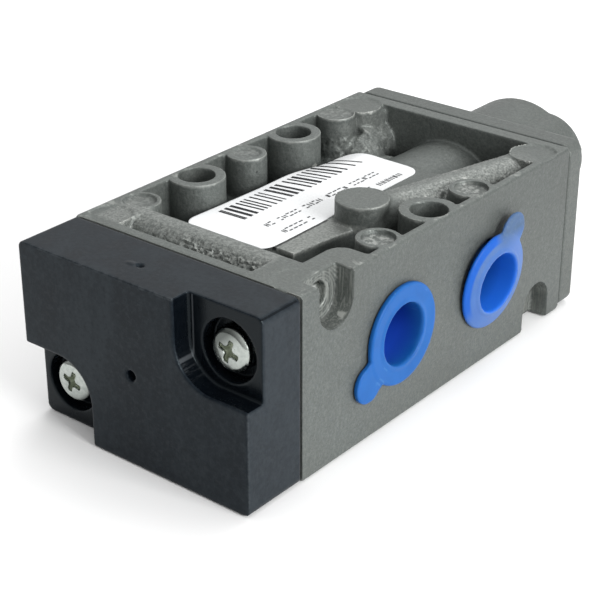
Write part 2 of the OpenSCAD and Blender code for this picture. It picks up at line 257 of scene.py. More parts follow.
        # painted shade: the side face drawn a little darker towards its upper rear corner
        side_shade = m.math("ADD", m.val(xs[2], 0.0, 0.5, 0.006, 0.030), m.val(xs[1], 0.0, 0.5, -0.020, 0.036))
        base = m.mix(m.both(side_shade, m.val(xs[0], 0.0, 1.0, 0.0232, 0.0234), 0.33), base, (0.05 * k, 0.055 * k, 0.055 * k))
    # small pits and dings, and worn bright spots along the rims
    pit = m.both(m.val(m.voro(210), 1.0, 0.0, 0.030, 0.050), m.val(m.noise(120, 1, 0.5), 0.0, 1.0, 0.46, 0.50))
    base = m.mix(m.math("MULTIPLY", pit, 0.75), base, (0.05 * k, 0.055 * k, 0.055 * k))
    zz = m.xyz()[2]
    rim = m.both(m.val(m.math("ABSOLUTE", m.math("SUBTRACT", zz, 0.016)), 0.0, 1.0, 0.01580, 0.01592), m.val(m.math("ABSOLUTE", m.xyz()[0]), 0.0, 1.0, 0.0212, 0.0216))
    base = m.mix(m.both(rim, m.val(m.noise(420, 4, 0.65), 0.0, 0.75, 0.56, 0.66)), base, (0.66 * k, 0.69 * k, 0.65 * k))
    p = m.pointy()
    # painted highlights on convex corners, partly rubbed bright, and painted shade in concave roots, away from the
    # large flats
    if pockets:
        off = m.both(m.val(m.math("ABSOLUTE", m.xyz()[0]), 1.0, 0.0, 0.0228, 0.0232), m.val(m.math("ABSOLUTE", m.math("SUBTRACT", zz, 0.016)), 1.0, 0.0, 0.01593, 0.01598))
        base = m.mix(m.both(off, m.val(p, 0.0, 0.90, 0.524, 0.570)), base, (0.92 * k, 0.95 * k, 0.90 * k))
        base = m.mix(m.both(off, m.val(p, 0.60, 0.0, 0.42, 0.49)), base, (0.08 * k, 0.09 * k, 0.09 * k))
    else:
        # rubbed outer edges of the plate
        ex = m.val(m.math("ABSOLUTE", m.xyz()[0]), 0.0, 1.0, 0.02325, 0.02340)
        ez = m.val(m.math("ABSOLUTE", m.math("SUBTRACT", zz, 0.016)), 0.0, 1.0, 0.01575, 0.01590)
        ey = m.val(m.xyz()[1], 0.0, 1.0, 0.04175, 0.04195)
        two = m.math("MAXIMUM", m.both(ex, ez), m.math("MAXIMUM", m.both(ex, ey), m.both(ez, ey)))
        base = m.mix(m.both(two, m.val(m.noise(700, 3, 0.6), 0.0, 0.7, 0.46, 0.62)), base, (0.80 * k, 0.83 * k, 0.79 * k))
    m.color(base)
    m.rough(m.val(mid, 0.42, 0.58, 0.3, 0.7))
    m.set(Metallic=0.45, Specular_IOR_Level=0.4)
    b1 = m.bump(grit, 0.55, 0.00012)
    b2 = m.bump(m.noise(900, 3, 0.6), 0.30, 0.00022, b1)
    m.normal(m.bump(m.noise(260, 3, 0.6), 0.20, 0.0004, b2))
    return m.m


def paper(name):
    m = Mat(name)
    fib = m.noise(2400, 4, 0.6)
    big = m.noise(110, 3, 0.5)
    base = m.ramp(fib, [(0.3, (0.70, 0.71, 0.715)), (0.7, (0.77, 0.78, 0.785))])
    m.color(m.mix(m.val(big, 0.0, 0.3, 0.5, 0.8), base, (0.66, 0.69, 0.72)))
    m.rough(m.val(fib, 0.42, 0.6, 0.3, 0.7))
    m.set(Specular_IOR_Level=0.35)
    m.normal(m.bump(m.noise(260, 3, 0.5), 0.10, 0.0002))
    return m.m


def ink(name, lo, hi):
    m = Mat(name)
    speck = m.noise(3800, 3, 0.7)
    m.color(m.ramp(speck, [(0.35, lo), (0.62, hi)]))
    m.rough(m.val(speck, 0.5, 0.65, 0.3, 0.7))
    m.set(Specular_IOR_Level=0.08)
    return m.m


def moulded(name, lo, hi, rough=(0.36, 0.5), grain=3200, bump=0.12, spec=0.5, wear=None):
    m = Mat(name)
    mid = m.noise(260, 4, 0.55)
    base = m.ramp(mid, [(0.3, lo), (0.7, hi)])
    fine = m.noise(grain, 2, 0.5)
    base = m.mix(m.val(fine, 0.0, 0.30, 0.5, 0.8), base, tuple(min(1, c * 1.6 + 0.01) for c in hi))
    if wear:
        base = m.mix(m.val(m.pointy(), 0.0, 0.6, 0.53, 0.61), base, wear)
    m.color(base)
    m.rough(m.val(mid, rough[0], rough[1], 0.3, 0.7))
    m.set(Specular_IOR_Level=spec)
    b1 = m.bump(fine, bump, 0.00005)
    m.normal(m.bump(m.noise(90, 2, 0.5), 0.05, 0.0004, b1))
    return m.m


def cover_plastic(name):
    m = Mat(name)
    mp0 = m.n("ShaderNodeMapping")
    mp0.inputs["Scale"].default_value = (1, 1, 0.45)
    m.l(m.co, mp0.inputs[0])
    cloud = m.noise(170, 6, 0.66, mp0.outputs[0], dist=0.6)
    fine = m.noise(3000, 3, 0.6)
    base = m.ramp(cloud, [(0.36, (0.0008, 0.0022, 0.0052)), (0.50, (0.0038, 0.0064, 0.0102)), (0.64, (0.0108, 0.0146, 0.0190))])
    base = m.mix(m.val(fine, 0.0, 0.30, 0.52, 0.76), base, (0.014, 0.017, 0.020))
    mott = m.noise(1250, 4, 0.72)
    base = m.mix(m.val(mott, 0.0, 0.55, 0.48, 0.70), base, (0.0175, 0.0215, 0.0260))
    base = m.mix(m.val(mott, 0.60, 0.0, 0.32, 0.46), base, (0.0010, 0.0018, 0.0034))
    # long faint scratches
    mp = m.n("ShaderNodeMapping")
    mp.inputs["Scale"].default_value = (1, 0.4, 0.10)
    m.l(m.co, mp.inputs[0])
    scr = m.noise(3400, 2, 0.5, mp.outputs[0])
    base = m.mix(m.val(scr, 0.0, 0.22, 0.60, 0.80), base, (0.020, 0.023, 0.026))
    xs = m.xyz()
    fx = m.math("ABSOLUTE", xs[0])
    # upper right and lower left corner, inside the outer walls and behind the front face
    sgn = m.math("MULTIPLY", m.math("SIGN", xs[0]), m.math("SUBTRACT", xs[2], 0.016))
    rec = m.math("MULTIPLY", m.math("GREATER_THAN", fx, 0.0090), m.math("GREATER_THAN", sgn, 0.0018))
    rec = m.math("MULTIPLY", rec, m.math("LESS_THAN", fx, 0.02325))
    rec = m.math("MULTIPLY", rec, m.math("LESS_THAN", sgn, 0.01575))
    rec = m.math("MULTIPLY", rec, m.math("GREATER_THAN", xs[1], -0.0497))
    rec = m.math("MULTIPLY", rec, m.math("LESS_THAN", xs[1], -0.0385))
    # painted shade: the recesses drawn darker
    base = m.mix(m.math("MULTIPLY", rec, 0.85), base, (0.0014, 0.0022, 0.0034))
    # painted sheen: the outer right and left walls drawn paler
    base = m.mix(m.math("MULTIPLY", m.val(fx, 0.0, 0.60, 0.02325, 0.02345), m.val(mott, 0.6, 1.0, 0.35, 0.65)), base, (0.024, 0.029, 0.034))
    # painted highlight lines down the step of each recess, scuffs on its round wall
    step_highlight = m.both(rec, m.span(fx, 0.0098, 0.0102, 0.0001), 0.8)
    base = m.mix(step_highlight, base, (0.060, 0.066, 0.072))
    rw = m.dist(fx, 0.0178, sgn, 0.0080)
    mp2 = m.n("ShaderNodeMapping")
    mp2.inputs["Scale"].default_value = (1, 0.12, 1)
    m.l(m.co, mp2.inputs[0])
    scuff = m.both(rec, m.span(rw, 0.0072, 0.0100, 0.0006), m.val(fx, 1.0, 0.0, 0.0145, 0.0165), m.val(sgn, 1.0, 0.0, 0.0042, 0.0068), m.val(m.noise(1900, 3, 0.7, mp2.outputs[0]), 0.0, 0.55, 0.50, 0.68))
    base = m.mix(scuff, base, (0.050, 0.055, 0.060))
    # rubbed front top edge and corners
    edge = m.both(m.val(xs[2], 0.0, 1.0, 0.03150, 0.03175), m.val(xs[1], 1.0, 0.0, -0.0500, -0.0496))
    edge = m.math("MAXIMUM", edge, m.both(m.val(fx, 0.0, 1.0, 0.02315, 0.02335), m.val(xs[1], 1.0, 0.0, -0.0500, -0.0496)))
    base = m.mix(m.both(edge, m.val(m.noise(900, 3, 0.6), 0.25, 0.85, 0.42, 0.60)), base, (0.040, 0.045, 0.050))
    m.color(base)
    rg = m.val(cloud, 0.34, 0.46, 0.3, 0.7)
    m.rough(m.math("SUBTRACT", rg, m.math("MULTIPLY", rec, 0.14)))
    m.set(Specular_IOR_Level=0.16, Specular_Tint=(0.80, 0.95, 1.0, 1))
    b1 = m.bump(mott, 0.16, 0.00008)
    m.normal(m.bump(m.noise(120, 3, 0.5), 0.07, 0.0004, b1))
    return m.m


def metal(name, lo, hi, rough=(0.2, 0.34), scale=1200, aniso=None, brush=None):
    m = Mat(name)
    mid = m.noise(scale, 4, 0.6)
    m.color(m.ramp(mid, [(0.3, lo), (0.7, hi)]))
    m.rough(m.val(m.noise(scale * 0.6, 3, 0.6), rough[0], rough[1], 0.3, 0.7))
    m.set(Metallic=1.0)
    co = m.co
    if brush:
        mp = m.n("ShaderNodeMapping")
        mp.inputs["Scale"].default_value = brush
        m.l(m.co, mp.inputs[0])
        co = mp.outputs[0]
    m.normal(m.bump(m.noise(scale, 3, 0.6, co), 0.12, 0.00005))
    return m.m


def screw_metal(name, lo, hi, rough, scale):
    """Zinc plated heads: the top left of the near one is in the shade, the drive recess is dull."""
    m = Mat(name)
    base = m.ramp(m.noise(scale, 4, 0.6), [(0.3, lo), (0.7, hi)])
    xs = m.xyz()
    ra = m.dist(xs[0], 0.017, xs[2], 0.02465)
    rb = m.dist(xs[0], -0.017, xs[2], 0.00735)
    across = m.math("SUBTRACT", m.math("SUBTRACT", xs[2], xs[0]), 0.00765)
    shade = m.both(m.val(ra, 1.0, 0.0, 0.0040, 0.0042), m.val(across, 0.0, 1.0, -0.0002, 0.0030), m.val(xs[1], 1.0, 0.0, -0.0450, -0.0440))
    base = m.mix(shade, base, tuple(c * 0.36 for c in lo))
    dull = m.both(m.val(m.math("MINIMUM", ra, rb), 1.0, 0.0, 0.0023, 0.0025), m.span(xs[1], -0.04652, -0.0446, 0.0002))
    base = m.mix(dull, base, (0.40, 0.44, 0.34))
    m.color(base)
    m.l(m.val(dull, 1.0, 0.0, 0.0, 1.0), m.b.inputs["Metallic"])
    m.rough(m.val(m.noise(scale * 0.6, 3, 0.6), rough[0], rough[1], 0.3, 0.7))
    m.normal(m.bump(m.noise(scale, 3, 0.6), 0.12, 0.00005))
    return m.m


def soft_plastic(name, body, pale, pale_amount, center, inner, skirt=None, sss=0.15):
    """Polyethylene: translucent, with rubbed pale patches, deep colour down in the cup that is partly painted shade,
    and painted light on the cup's lower wall.
    """
    m = Mat(name)
    cloud = m.noise(230, 4, 0.6, dist=0.4)
    fine = m.noise(1500, 3, 0.6)
    base = m.mix(m.val(cloud, 0.0, 1.0, 0.35, 0.70), body, tuple(min(1, c * 1.15 + 0.005) for c in body))
    base = m.mix(m.val(fine, 0.0, 0.10, 0.5, 0.8), base, tuple(min(1, c * 1.3 + 0.008) for c in body))
    base = m.mix(m.val(cloud, pale_amount * 0.75, pale_amount, 0.3, 0.7), base, pale)
    base = m.mix(m.val(m.pointy(), 0.0, 0.30, 0.53, 0.62), base, pale)
    xs = m.xyz()
    dy = m.math("SUBTRACT", xs[1], center[1])
    dz = m.math("SUBTRACT", xs[2], center[2])
    r = m.math("SQRT", m.math("ADD", m.math("MULTIPLY", dy, dy), m.math("MULTIPLY", dz, dz)))
    deep = m.math("MULTIPLY", m.val(r, 1.0, 0.0, 0.0053, 0.0057), m.val(xs[0], 1.0, 0.0, center[0] - 0.0045, center[0] - 0.0005))
    if skirt:
        hole = m.val(r, 1.0, 0.0, 0.0053, 0.0056)
        base = m.mix(hole, base, inner)
        # painted shade further down the hole
        base = m.mix(m.math("MULTIPLY", hole, m.val(xs[0], 1.0, 0.0, center[0] - 0.0080, center[0] - 0.0030)), base, tuple(c * 0.38 for c in inner))
    else:
        # the cup drawn a deeper, darker blue, partly painted shade
        base = m.mix(deep, base, inner)
        # painted light on the cup's lower wall
        low = m.val(m.math("SUBTRACT", dz, m.math("MULTIPLY", dy, 0.4)), 1.0, 0.0, -0.0042, 0.0012)
        base = m.mix(m.both(deep, low), base, (inner[0] * 4.0, inner[1] * 3.0, inner[2] * 2.2))
    if skirt:
        # the rim's back edge, on the side that stands off the body: a greyer band, and past it a saturated blue band
        side = m.math("SUBTRACT", m.math("MULTIPLY", dz, 0.50), m.math("MULTIPLY", dy, 0.87))
        grey_band = m.both(m.span(r, 0.0062, 0.0076, 0.0004), m.val(side, 0.0, 1.0, 0.0010, 0.0040), m.val(dz, 0.0, 1.0, 0.0, 0.003), m.val(cloud, 0.2, 0.6, 0.35, 0.65))
        base = m.mix(grey_band, base, (0.075, 0.125, 0.22))
        sk = m.math("MULTIPLY", m.val(r, 0.0, 1.0, 0.0072, 0.0076), m.val(side, 0.0, 1.0, 0.0025, 0.0050))
        base = m.mix(sk, base, skirt)
        tab = m.math("MULTIPLY", m.val(dz, 0.0, 1.0, 0.0056, 0.0085), m.val(dy, 0.0, 1.0, -0.0010, 0.0012))
        base = m.mix(m.math("MULTIPLY", tab, m.val(cloud, 0.55, 0.95, 0.3, 0.7)), base, (0.040, 0.076, 0.130))
        base = m.mix(m.both(tab, m.val(fine, 0.0, 0.4, 0.50, 0.72)), base, (0.10, 0.16, 0.23))
    m.color(base)
    m.rough(m.val(cloud, 0.34, 0.48, 0.3, 0.7))
    m.set(Subsurface_Weight=sss, Subsurface_Radius=(0.2, 0.5, 1.0), Subsurface_Scale=0.0010, Specular_IOR_Level=0.18)
    m.normal(m.bump(m.noise(700, 3, 0.55), 0.10, 0.0001))
    return m.m


M = {
    "die_cast": die_cast("die_cast"),
    "cover_cast": die_cast("cover_cast", 0.86, False),
    "cover": cover_plastic("cover_plastic"),
    "gasket": moulded("gasket_rubber", (0.010, 0.010, 0.011), (0.018, 0.018, 0.019), (0.6, 0.75), 2500, 0.2),
    "zinc": screw_metal("screw_zinc", (0.33, 0.36, 0.34), (0.46, 0.49, 0.46), (0.14, 0.28), 1500),
    "spool": metal("spool_metal", (0.60, 0.61, 0.63), (0.72, 0.73, 0.75), (0.16, 0.26), 900, brush=(1, 0.05, 1)),
    "seal": moulded("seal_rubber", (0.010, 0.010, 0.011), (0.02, 0.02, 0.022), (0.45, 0.6), 2500, 0.15),
    "cage": moulded("cage_plastic", (0.055, 0.058, 0.065), (0.08, 0.083, 0.09), (0.42, 0.55), 2500, 0.12),
    "spring": metal("spring_steel", (0.42, 0.42, 0.44), (0.60, 0.60, 0.62), (0.24, 0.36), 1500),
    "piston": moulded("piston_plastic", (0.66, 0.64, 0.58), (0.72, 0.70, 0.65), (0.35, 0.5), 2200, 0.08),
    "paper": paper("label_paper"),
    "ink": ink("label_ink", (0.008, 0.0085, 0.0095), (0.030, 0.031, 0.034)),
    "ink_pale": ink("label_ink_pale", (0.050, 0.051, 0.054), (0.12, 0.122, 0.126)),
    "ball": metal("ball_steel", (0.40, 0.42, 0.40), (0.55, 0.57, 0.55), (0.24, 0.38), 1500),
    "plug": soft_plastic("plug_blue", (0.002, 0.074, 0.275), (0.07, 0.19, 0.38), 0.03, (0.0246, -0.013, 0.016), (0.003, 0.022, 0.20)),
    "plug_pale": soft_plastic("plug_blue_pale", (0.004, 0.060, 0.30), (0.085, 0.165, 0.33), 0.60, (0.0258, 0.0128, 0.0156), (0.014, 0.130, 0.58), (0.002, 0.074, 0.37)),
}


# ------------------------------------------------------------ mesh helpers --
def link(o):
    scene.collection.objects.link(o)
    return o


def evaluated(o):
    dg = bpy.context.evaluated_depsgraph_get()
    dg.update()
    e = o.evaluated_get(dg)
    me = bpy.data.meshes.new_from_object(e)
    return me


def verts(me):
    a = np.empty(len(me.vertices) * 3)
    me.vertices.foreach_get("co", a)
    return a.reshape(-1, 3)


def put(me, v):
    me.vertices.foreach_set("co", v.ravel())
    me.update()


def smooth_verts(me, rounds, keep=None, k=0.5):
    """Laplacian rounds over mesh edges. keep is a 0..1 weight of how much of each move is dropped."""
    v = verts(me)
    e = np.empty(len(me.edges) * 2, dtype=np.int64)
    me.edges.foreach_get("vertices", e)
    e = e.reshape(-1, 2)
    cnt = np.bincount(e.ravel(), minlength=len(v)).astype(float)[:, None]
    cnt[cnt == 0] = 1
    for _ in range(rounds):
        acc = np.zeros_like(v)
        for a in range(3):
            acc[:, a] = np.bincount(e[:, 0], v[e[:, 1], a], len(v)) + np.bincount(e[:, 1], v[e[:, 0], a], len(v))
        step = (acc / cnt - v) * k
        if keep is not None:
            step *= (1 - keep(v))[:, None]
        v = v + step
    put(me, v)


def soften(name, node, voxel, rounds, tris=None, edit=None, keep=None, post=None):
    """A new piece with the CAD node's shape, its corners rounded the way a cast or moulded piece is."""
    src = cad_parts[node]
    me = src.data.copy()
    o = link(bpy.data.objects.new(name, me))
    me.materials.clear()
    r = o.modifiers.new("vox", "REMESH")
    r.mode = "VOXEL"
    r.voxel_size = voxel * MM
    r.adaptivity = 0.0
    me2 = evaluated(o)
    o.modifiers.clear()
    o.data = me2
    if edit:
        v = verts(me2)
        put(me2, edit(v))
    smooth_verts(me2, rounds, keep)
    if post:
        v = verts(me2)
        put(me2, post(v))
    if tris:
        me2.calc_loop_triangles()
        n = len(me2.loop_triangles)
        if n > tris:
            d = o.modifiers.new("dec", "DECIMATE")
            d.ratio = tris / n
            me3 = evaluated(o)
            o.modifiers.clear()
            o.data = me3
    o.data.shade_smooth()
    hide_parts(node)
    return o


def mesh_obj(name, v, f, smooth=True):
    me = bpy.data.meshes.new(name)
    me.from_pydata([tuple(p) for p in v], [], f)
    me.validate()
    me.update()
    if smooth:
        me.shade_smooth()
    return link(bpy.data.objects.new(name, me))


def crisp(o, angle=38):
    """Flat faces keep flat shading next to rounded edges."""
    o.data.shade_smooth()
    o.data.set_sharp_from_angle(angle=math.radians(angle))
    wn = o.modifiers.new("weighted", "WEIGHTED_NORMAL")
    wn.mode = "FACE_AREA_WITH_ANGLE"
    wn.weight = 50
    wn.keep_sharp = True
    wn.thresh = 0.01


def paint(o, mat):
    o.data.materials.clear()
    o.data.materials.append(mat)
    return o


def fbm(v, scale, amp, octaves=3):
    out = np.empty(len(v))
    for i, p in enumerate(v):
        out[i] = noise.fractal(Vector(p) * scale, 0.8, 2.0, octaves)
    return out * amp


def normals(me):
    a = np.empty(len(me.vertices) * 3)
    me.vertex_normals.foreach_get("vector", a)
    return a.reshape(-1, 3)


# --------------------------------------------------------------- the body --
def lift(x, y):
    """Height of the paper over the plane of the flat: it follows the flat down along its far left side."""
    s = np.clip((-8.0 - x) / 5.8, 0, 1) ** 1.6
    a = np.clip((y + 20) / 16, 0, 1)
    b = np.clip((y - 3) / 15, 0, 1)
    z = -s * (0.45 * a + 1.40 * b * b * (3 - 2 * b))
    z = z + 0.18 * np.exp(-((y + 3.1) / 2.6) ** 2) * np.exp(-(4.0 - x) / 1.1)
    z = z + 0.08 * np.exp(-((x + 3 + 0.35 * (y - 10)) / 1.3) ** 2) * np.clip((y - 6) / 8, 0, 1)
    z = z + 0.05 * np.exp(-((y + 20.5) / 1.6) ** 2) * np.clip((x + 13) / 8, 0, 1)
    return z


def flat_edit(v):
    """The raised flat falls away along its far left side."""
    x, y, z = v[:, 0] / MM, v[:, 1] / MM, v[:, 2] / MM
    w = (x > -14.6) & (x < -8.0) & (y > -24.5) & (y < 23.5) & (z > 23) & (z < 28.7)
    edge = np.clip((23.5 - y) / 2.0, 0, 1)
    v[w, 2] += ((lift(x, y) - 0.03) * np.clip((z - 23) / 4.5, 0, 1) * edge)[w] * MM
    return v


def body_keep(v):
    """Machined faces and dish rims stay crisp, cored walls round off."""
    x, y, z = v[:, 0] / MM, v[:, 1] / MM, v[:, 2] / MM
    k = np.zeros(len(v))
    k[(np.abs(x) > 23.0) | (np.abs(y) > 37.1)] = 0.75
    for px, py, pr in ((-19.5, -26.9, 2.8), (-19.5, 0, 2.5), (19.6, -13.9, 2.8), (19.9, 11.8, 2.87),
                       (-19.4, -33.8, 3.6), (-18.8, 32, 4.0), (19.7, 31.7, 4.1), (19.4, -33.8, 4.0)):
        d = np.abs(np.hypot(x - px, y - py) - pr)
        k[(d < 0.7) & (z > 30.8)] = 0.7
    return k


body = soften("body_casting", "valve_body", 0.235, 3, edit=flat_edit, keep=body_keep)
v = verts(body.data)
n = normals(body.data)
x, y, z = v[:, 0] / MM, v[:, 1] / MM, v[:, 2] / MM
# rough skin on the cored ridges and pocket walls, upper and lower face
inside = (np.abs(x) < 21.9) & (y > -35.6) & (y < 34.8) & (np.hypot(x, z - 16) > 9.6)
upper = inside & (z > 17) & (z < 31.6)
lower = inside & (z < 15) & (z > 0.4)
pick = np.where(upper | lower)[0]
amp = np.zeros(len(v))
amp[pick] = fbm(v[pick], 900, 0.03)
amp[pick] += fbm(v[pick], 2600, 0.015, 2)


def window(a, lo, hi, soft):
    return np.clip((a - lo) / soft, 0, 1) * np.clip((hi - a) / soft, 0, 1)


zf = np.where(z > 16, z, 32 - z)
yf = np.where(z > 16, y, -y)
# torn, pitted flank of the gallery ridge, where the core pulled away
w1 = window(x, -16, 12.4, 1.2) * window(yf, -35.5, -29.6, 0.9) * window(zf, 22, 31.9, 0.8) * np.clip(0.35 + (x + 12) / 16, 0.3, 1.0)
# coarse skin along the diagonal ridge
sd = (x - 9.0) * 0.2524 + (yf + 3.1) * 0.9676
td = (x - 9.0) * 0.9676 - (yf + 3.1) * 0.2524
w2 = window(sd, 4, 34, 3) * window(td, -4.6, 4.6, 0.8) * window(zf, 27.6, 32, 0.8)
# lumps in the corner fills beyond the far bosses
w3 = window(x, -21.9, -6, 1) * window(yf, 20, 35, 2) * window(zf, 17, 29, 1)
for wt, sc, am, oc in ((w1, 700, 0.20, 3), (w1, 1700, 0.17, 2), (w2, 1500, 0.11, 3), (w3, 330, 0.22, 3), (w3, 1200, 0.08, 2)):
    q = np.where(wt > 0.01)[0]
    h = np.array([noise.turbulence(Vector(v[i]) * sc, oc, True, noise_basis="BLENDER") for i in q])
    amp[q] -= wt[q] * (h - 0.35) * am * 2
rg = np.hypot(yf + 29.4, zf - 27.7)
w4 = (np.abs(x - 19.9) < 0.45) & (rg < 4.0) & (rg > 2.4)
amp[w4] += 0.07 * np.sin(rg[w4] * 2 * np.pi / 0.85)
amp[(z > 31.75) | (z < 0.25)] = 0
v = v + n * (amp * MM)[:, None]
put(body.data, v)
body.data.calc_loop_triangles()
nt = len(body.data.loop_triangles)
if nt > 195000:
    d = body.modifiers.new("dec", "DECIMATE")
    d.ratio = 195000 / nt
    me = evaluated(body)
    body.modifiers.clear()
    body.data = me
    body.data.shade_smooth()
crisp(body)
paint(body, M["die_cast"])
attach(body, "housing")

# -------------------------------------------------------------- the covers --
def cover_edit(v):
    x, y, z = v[:, 0] / MM, v[:, 1] / MM, v[:, 2] / MM
    # torn gate mark on top
    d = np.hypot(x + 2.2, (y + 44.8) * 1.5)
    w = (z > 31.7) & (d < 0.85)
    v[w, 2] -= 0.55 * MM * np.clip((0.85 - d[w]) / 0.35, 0, 1)
    d = np.hypot((x + 3.6) * 0.5, y + 45.0)
    w = (z > 31.7) & (d < 0.7)
    v[w, 2] += 0.10 * MM * np.clip((0.7 - d[w]) / 0.4, 0, 1)
    return v


cap = soften("spring_cover", "front_cover", 0.22, 1, 110000, post=cover_edit)
crisp(cap)
paint(cap, M["cover"])
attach(cap, "housing")
rear = soften("pilot_cover", "rear_cover", 0.26, 3, 90000)
crisp(rear)
paint(rear, M["cover_cast"])
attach(rear, "housing")

# --------------------------------------------------------------- the plugs --
for nm, node, bd, mt, sl in (("plug_front", "port_plug_front", "front_plug", "plug", "plug_blue"),
                             ("plug_rear", "port_plug_rear", "rear_plug", "plug_pale", "plug_blue_pale")):
    p = soften(nm, node, 0.15, 7, 60000)
    paint(p, M[mt])
    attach(p, bd)

# --------------------------------------------------------------- the label --
VIEW = (-0.6292 / math.tan(math.radians(EL)), 0.7772 / math.tan(math.radians(EL)))


def paper_point(x, y, up=0.0):
    return (x * MM, y * MM, (28.27 + float(lift(np.float64(x), np.float64(y))) + up) * MM)


X0, X1, Y0, Y1, RC = -13.8, 4.0, -23.3, 20.2, 3.0
NX, NY = 72, 150
vs, fs = [], []
for j in range(NY + 1):
    yy = Y0 + (Y1 - Y0) * j / NY
    # outline with round corners and a bite where the paper meets the post
    dy = max(0.0, RC - (yy - Y0), RC - (Y1 - yy))
    inset = RC - math.sqrt(max(0.0, RC * RC - dy * dy))
    xa, xb = X0 + inset, X1 - inset
    if abs(yy + 3.1) < 4.72:
        xb = min(xb, 8.3 - math.sqrt(4.72 ** 2 - (yy + 3.1) ** 2))
    for i in range(NX + 1):
        vs.append(paper_point(xa + (xb - xa) * i / NX, yy))
for j in range(NY):
    for i in range(NX):
        a = j * (NX + 1) + i
        fs.append((a, a + 1, a + NX + 2, a + NX + 1))
label = mesh_obj("label_sheet", vs, fs)
sol = label.modifiers.new("thick", "SOLIDIFY")
sol.thickness = 0.11 * MM
sol.offset = -1
me = evaluated(label)
label.modifiers.clear()
label.data = me
label.data.shade_smooth()
paint(label, M["paper"])
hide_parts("label")
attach(label, "housing")


def unproject(px, py):
    """Where a mark seen at px, py on the flat really lies on the lifted paper."""
    qx, qy = px, py
    for _ in range(12):
        h = float(lift(np.float64(qx), np.float64(qy)))
        qx, qy = px - h * VIEW[0], py - h * VIEW[1]
    return qx, qy


def strip(a, b, width, n=10, up=0.05, flat=False):
    """A printed bar from a to b, lying on the paper; flat gives a and b on the unlifted flat."""
    dx, dy = b[0] - a[0], b[1] - a[1]
    l = math.hypot(dx, dy)
    nx, ny = -dy / l * width / 2, dx / l * width / 2
    v, f = [], []
    for i in range(n + 1):
        t = i / n
        for sg in (-1, 1):
            q = (a[0] + dx * t + sg * nx, a[1] + dy * t + sg * ny)
            v.append(paper_point(*(unproject(*q) if flat else q), up))
    for i in range(n):
        f.append((2 * i, 2 * i + 2, 2 * i + 3, 2 * i + 1))
    return v, f


def join(parts):
    v, f = [], []
    for pv, pf in parts:
        k = len(v)
        v += pv
        f += [tuple(i + k for i in q) for q in pf]
    return v, f


BARS = [(-15.9, -15.6, 0.22), (-15.45, -15.15, 0.18), (-14.35, -13.8, 0.62), (-13.0, -12.4, 0.60), (-11.6, -10.8, 0.30),
        (-10.5, -9.8, 0.28), (-9.5, -8.8, 0.26), (-8.1, -7.4, 0.26), (-6.8, -6.0, 0.28), (-5.75, -4.95, 0.18),
        (-4.3, -3.35, 0.16), (-3.9, -2.95, 0.16), (-2.65, -1.7, 0.62), (-1.45, -0.4, 0.16), (-1.1, 0.0, 0.16),
        (0.7, 2.0, 0.36), (2.1, 3.4, 0.30), (3.3, 4.7, 0.66), (4.7, 6.2, 0.20), (6.1, 7.4, 0.34), (7.35, 9.2, 0.30),
        (8.7, 10.5, 0.52), (10.35, 12.15, 0.34), (12.4, 14.5, 0.30), (13.8, 16.5, 0.24)]
parts = []
for ya, yb, wd in BARS:
    parts.append(strip((-12.0, ya), (-6.4, yb), wd + 0.12, 16, flat=True))
bars = mesh_obj("label_bars", *join(parts))
paint(bars, M["ink"])
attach(bars, "housing")
parts = []
rnd = random.Random(11)
for xa, ya, xb, yb, gaps in ((-2.1, -15.5, -1.5, 15.1, (3, 9, 14, 20)), (1.6, -15.5, 2.1, 16.6, (6, 9, 20, 23))):
    t, i = 0.0, 0
    l = yb - ya
    while t < l - 1.0:
        i += 1
        wd = rnd.uniform(0.55, 0.95)
        if i not in gaps and not (xa > 0 and -8.2 < ya + t + wd / 2 < 2.0):
            cx = xa + (xb - xa) * t / l
            hgt = rnd.uniform(0.80, 1.0)
            # plain pairs of dashes, along or across the row
            if rnd.random() < 0.55:
                for off in (-0.55, 0.55):
                    if cx + off * hgt < 3.6:
                        parts.append(strip((cx + off * hgt, ya + t), (cx + off * hgt, ya + t + wd), 0.30, 2))
            else:
                for e in (ya + t + 0.14, ya + t + wd - 0.10):
                    parts.append(strip((cx - 0.6 * hgt, e), (min(cx + 0.6 * hgt, 3.6), e), 0.24, 2))
        t += wd + rnd.uniform(0.30, 0.42)
rows = mesh_obj("label_rows", *join(parts))
paint(rows, M["ink_pale"])
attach(rows, "housing")


# ------------------------------------------------------------- the threads --
def thread(origin, along, across, up, r_wall, r_crest, pitch, length, segs=40):
    """Helical ridge on the wall of a tapped hole, fading out at both ends."""
    o, a, b, c = (Vector(q) for q in (origin, along, across, up))
    turns = length / pitch
    steps = int(turns * segs)
    v, f = [], []
    for i in range(steps + 1):
        t = i / steps
        fade = min(1.0, t * turns / 0.8, (1 - t) * turns / 0.8)
        ang = 2 * math.pi * turns * t
        d = b * math.cos(ang) + c * math.sin(ang)
        for rr, off in ((r_wall + 0.05, -0.46), (r_wall - (r_wall - r_crest) * fade, -0.08),
                        (r_wall - (r_wall - r_crest) * fade, 0.08), (r_wall + 0.05, 0.46)):
            q = o + a * ((length * t + off * pitch)) + d * rr
            v.append(tuple(q * MM))
    for i in range(steps):
        for j in range(3):
            k = i * 4 + j
            f.append((k, k + 1, k + 5, k + 4))
    f.append((0, 1, 2, 3))
    f.append(tuple(steps * 4 + j for j in (3, 2, 1, 0)))
    return v, f


